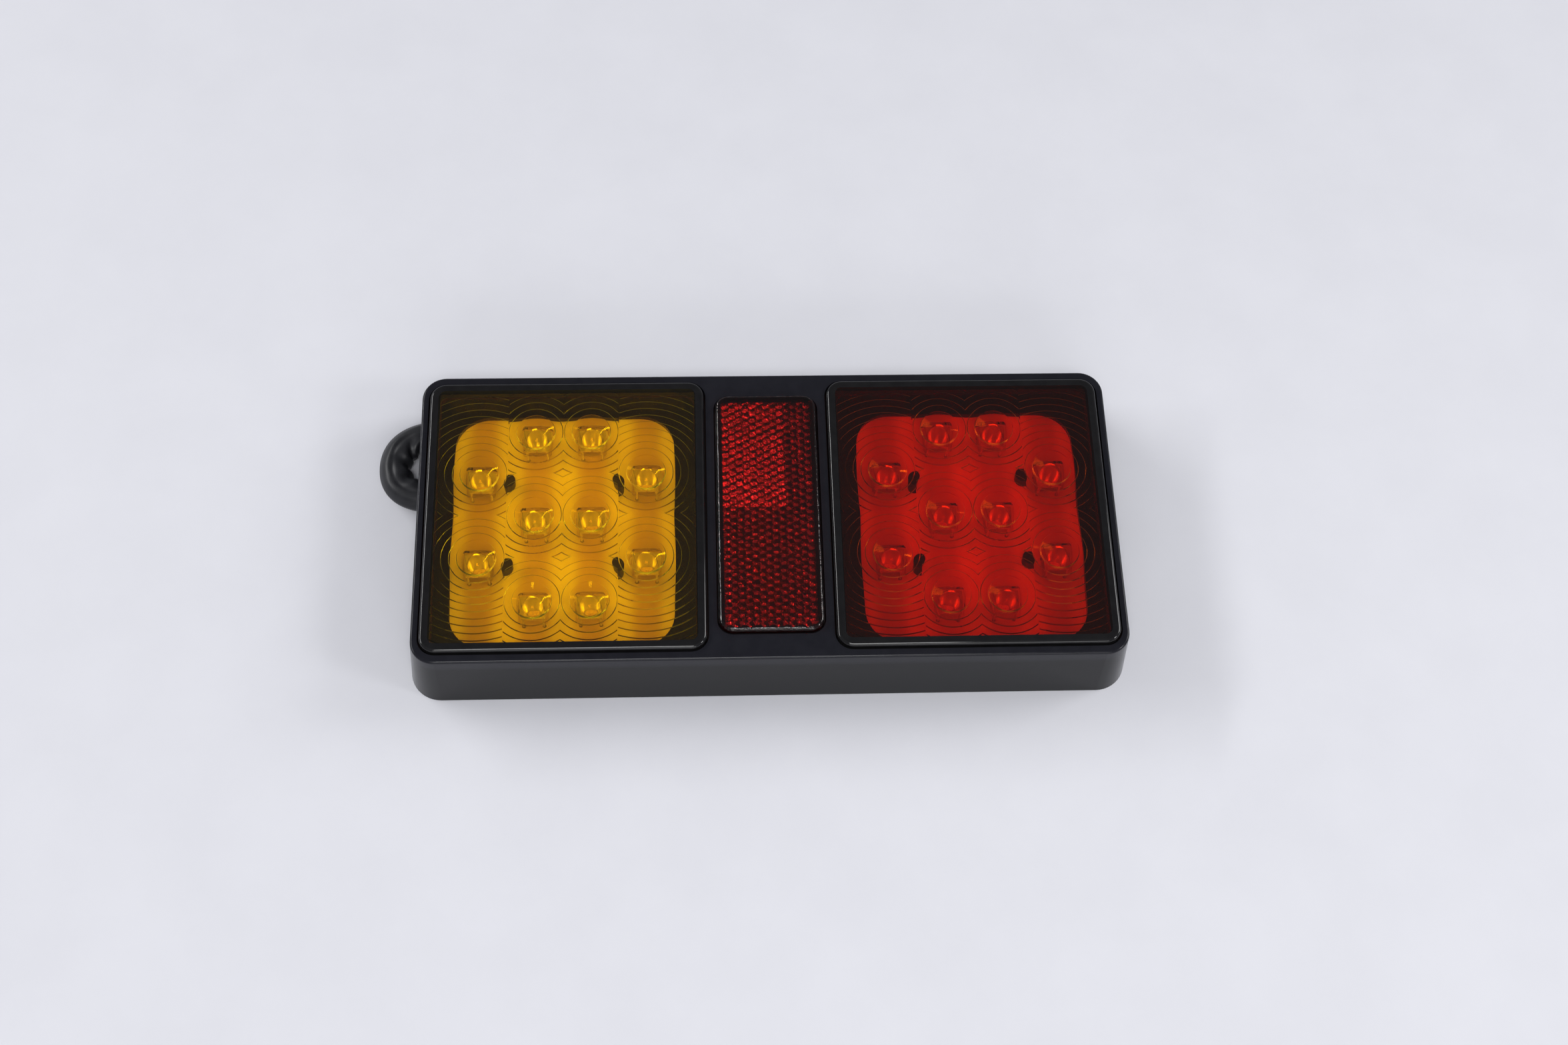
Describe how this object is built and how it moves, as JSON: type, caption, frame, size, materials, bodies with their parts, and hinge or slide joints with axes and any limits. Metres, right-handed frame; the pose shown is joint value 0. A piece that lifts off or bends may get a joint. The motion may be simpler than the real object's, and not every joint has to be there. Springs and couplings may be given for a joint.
{
  "type": "trailer tail light",
  "caption": "Rectangular trailer tail light: black housing with an amber lamp, a red lamp, a red reflex reflector between them, and a short sleeved lead.",
  "frame": {"origin": "centre of the housing's flat open back", "axes": "+Z out of the lenses, +X along the housing from the amber lamp to the red lamp, +Y across it"},
  "size_m": [0.2162, 0.0948, 0.024],
  "materials": {
    "housing_plastic": "gloss",
    "amber_lens_plastic": "clear amber acrylic",
    "red_lens_plastic": "clear red acrylic",
    "reflector_plastic": "prismatic red acrylic",
    "sealant": "satin",
    "led_resin": "clear epoxy",
    "board_mask": "satin white solder mask",
    "lead_metal": "tinned",
    "post_plastic": "satin",
    "chip_ceramic": "matt",
    "chip_body": "matt",
    "potting_resin": "satin",
    "backplate_plastic": "satin",
    "insert_brass": "turned",
    "grommet_rubber": "matt",
    "sleeve_vinyl": "satin vinyl",
    "core_white": "satin vinyl",
    "core_brown": "satin vinyl",
    "core_red": "satin vinyl",
    "core_yellow": "satin vinyl",
    "copper": "bare strands"
  },
  "bodies": {
    "root": {"housing": "housing_plastic", "amber_lens": "amber_lens_plastic", "amber_lens_seal": "sealant", "amber_led_1": "led_resin", "amber_led_2": "led_resin", "amber_led_3": "led_resin", "amber_led_4": "led_resin", "amber_led_5": "led_resin", "amber_led_6": "led_resin", "amber_led_7": "led_resin", "amber_led_8": "led_resin", "amber_led_9": "led_resin", "amber_led_10": "led_resin", "amber_circuit_board": "board_mask", "amber_led_frames": "lead_metal", "amber_board_posts": "post_plastic", "amber_resistors": "chip_ceramic", "amber_diode": "chip_body", "amber_potting": "potting_resin", "red_lens": "red_lens_plastic", "red_lens_seal": "sealant", "red_led_1": "led_resin", "red_led_2": "led_resin", "red_led_3": "led_resin", "red_led_4": "led_resin", "red_led_5": "led_resin", "red_led_6": "led_resin", "red_led_7": "led_resin", "red_led_8": "led_resin", "red_led_9": "led_resin", "red_led_10": "led_resin", "red_circuit_board": "board_mask", "red_led_frames": "lead_metal", "red_board_posts": "post_plastic", "red_resistors": "chip_ceramic", "red_diode": "chip_body", "red_potting": "potting_resin", "reflector_lens": "reflector_plastic", "reflector_seal": "sealant", "reflector_backplate": "backplate_plastic", "upper_insert": "insert_brass", "lower_insert": "insert_brass", "cable_grommet": "grommet_rubber", "cable_strain_relief": "grommet_rubber", "cable_sleeve": "sleeve_vinyl", "core_earth": "core_white", "core_earth_tip": "copper", "core_tail": "core_brown", "core_tail_tip": "copper", "core_stop": "core_red", "core_stop_tip": "copper", "core_turn": "core_yellow", "core_turn_tip": "copper", "supply_core_1": "core_white", "supply_core_2": "core_brown", "supply_core_3": "core_red", "supply_core_4": "core_yellow", "board_link_feed": "core_red", "board_link_earth": "core_white"}
  },
  "joints": []
}
